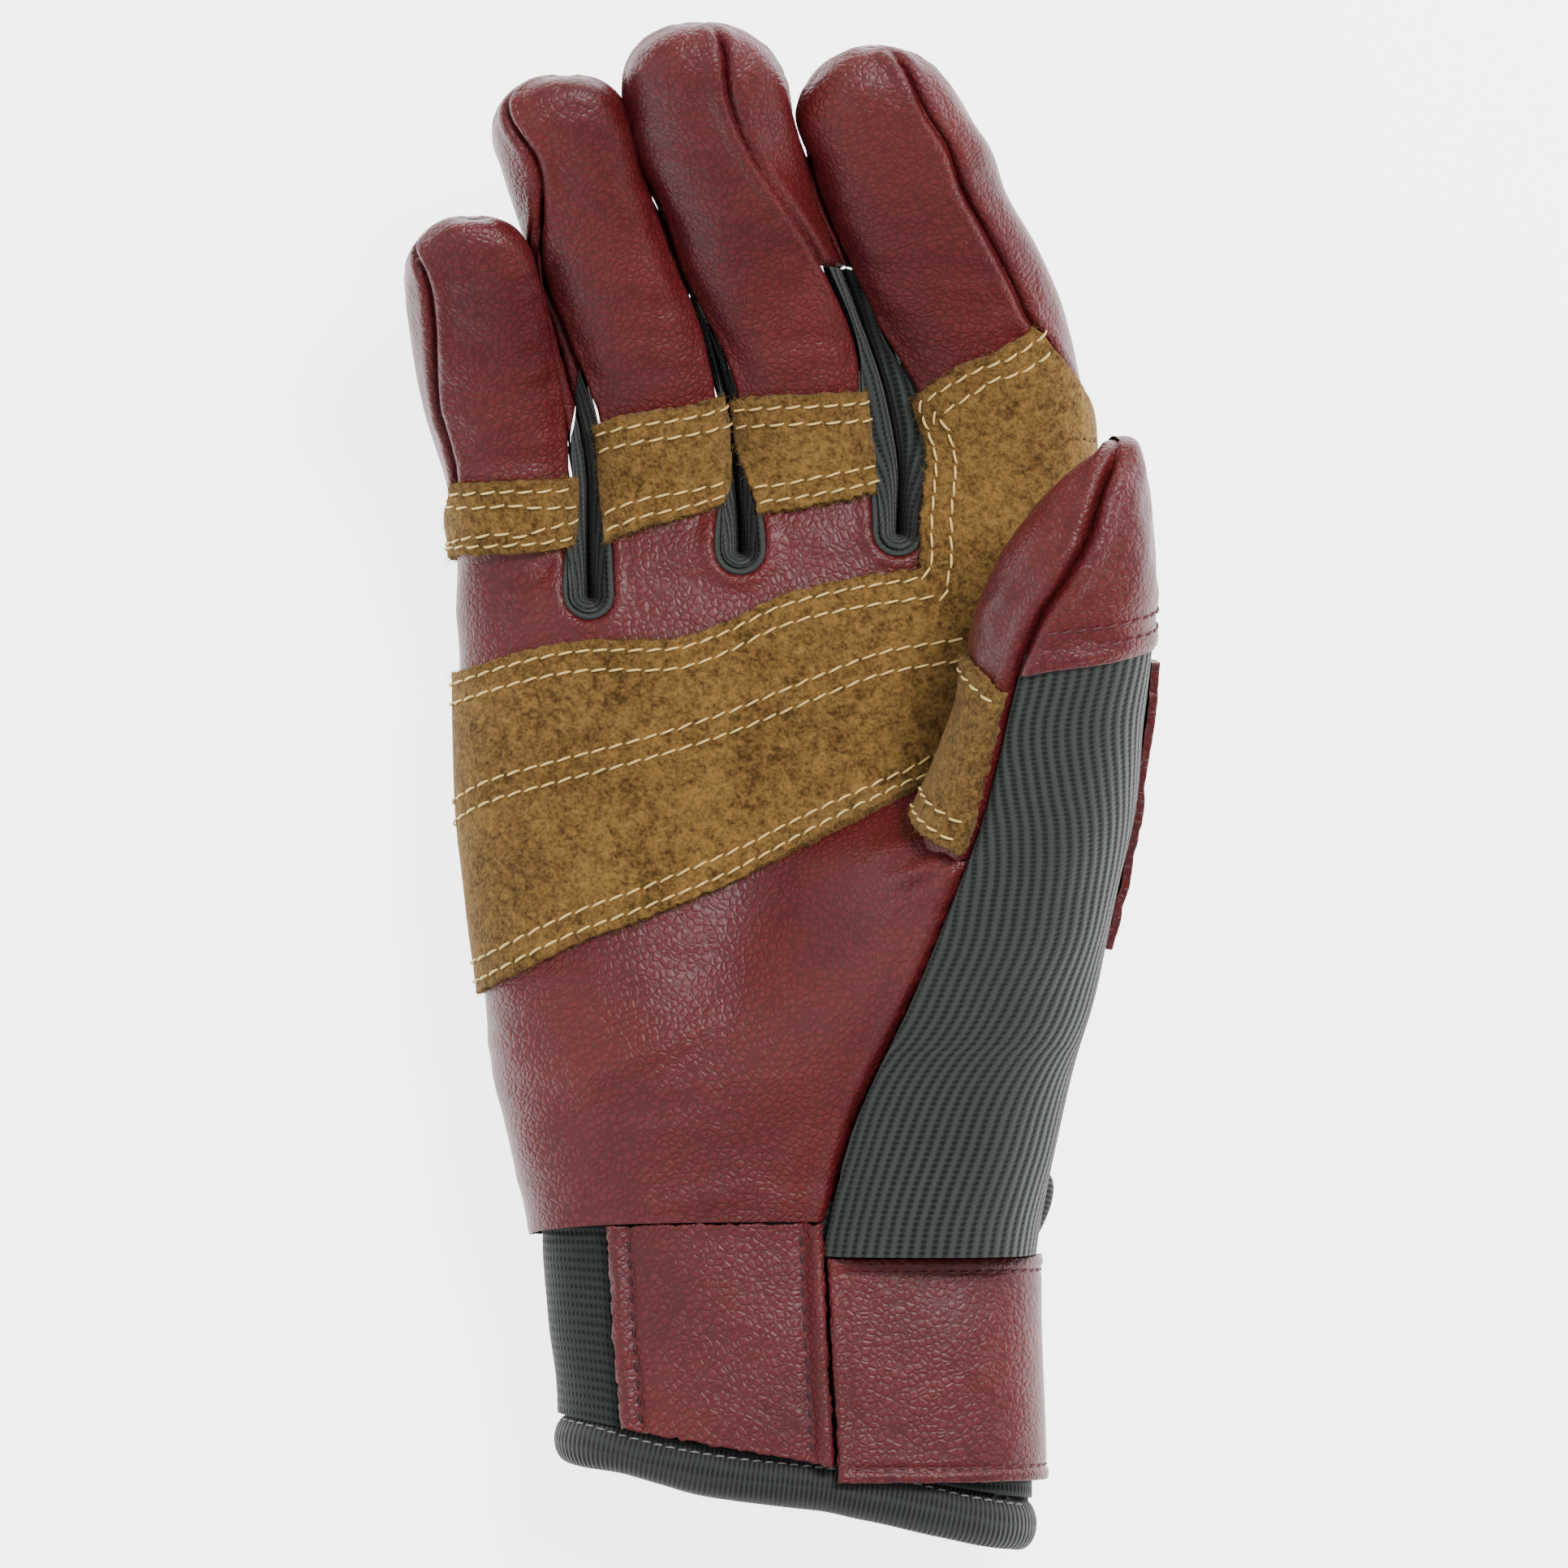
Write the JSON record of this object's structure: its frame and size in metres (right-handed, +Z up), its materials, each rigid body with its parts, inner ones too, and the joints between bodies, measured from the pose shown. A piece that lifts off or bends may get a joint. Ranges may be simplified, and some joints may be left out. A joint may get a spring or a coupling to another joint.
{
  "type": "climbing glove",
  "caption": "Right-hand climbing glove lying palm up, fingers half curled: leather palm, suede grip patches, ribbed fabric gusset and a strapped, bound cuff.",
  "frame": {"origin": "middle of the glove's footprint, on the surface it lies on", "axes": "+Y from the cuff towards the fingertips, +X towards the thumb, +Z up out of the palm"},
  "size_m": [0.1142, 0.2304, 0.0653],
  "materials": {
    "goat_leather": "semi-gloss, finely pebbled dark red leather",
    "suede": "napped tan suede with pale yellow stitching",
    "ribbed_fabric": "matt dark grey-green fabric with fine ribs",
    "binding_fabric": "matt dark grey binding tape"
  },
  "bodies": {
    "root": {"palm_front": "goat_leather", "tip_cap_little": "goat_leather", "tip_cap_ring": "goat_leather", "tip_cap_middle": "goat_leather", "tip_cap_index": "goat_leather", "side_little_ulnar": "goat_leather", "side_little_radial": "goat_leather", "side_ring_ulnar": "goat_leather", "side_ring_radial": "goat_leather", "side_middle_ulnar": "goat_leather", "side_middle_radial": "goat_leather", "side_index_ulnar": "goat_leather", "side_index_radial": "goat_leather", "thumb_front": "goat_leather", "thumb_cap": "goat_leather", "back_thumb_patch": "goat_leather", "cuff_panel": "goat_leather", "strap": "goat_leather", "palm_suede": "suede", "band_little": "suede", "band_ring": "suede", "band_middle": "suede", "thumb_suede": "suede", "hand_back": "ribbed_fabric", "forchette_little_ring": "ribbed_fabric", "forchette_ring_middle": "ribbed_fabric", "forchette_middle_index": "ribbed_fabric", "thumb_gusset": "ribbed_fabric", "cuff_knit": "ribbed_fabric", "strap_loop_patch": "binding_fabric", "cuff_binding": "binding_fabric", "slit_binding": "binding_fabric"}
  },
  "joints": []
}
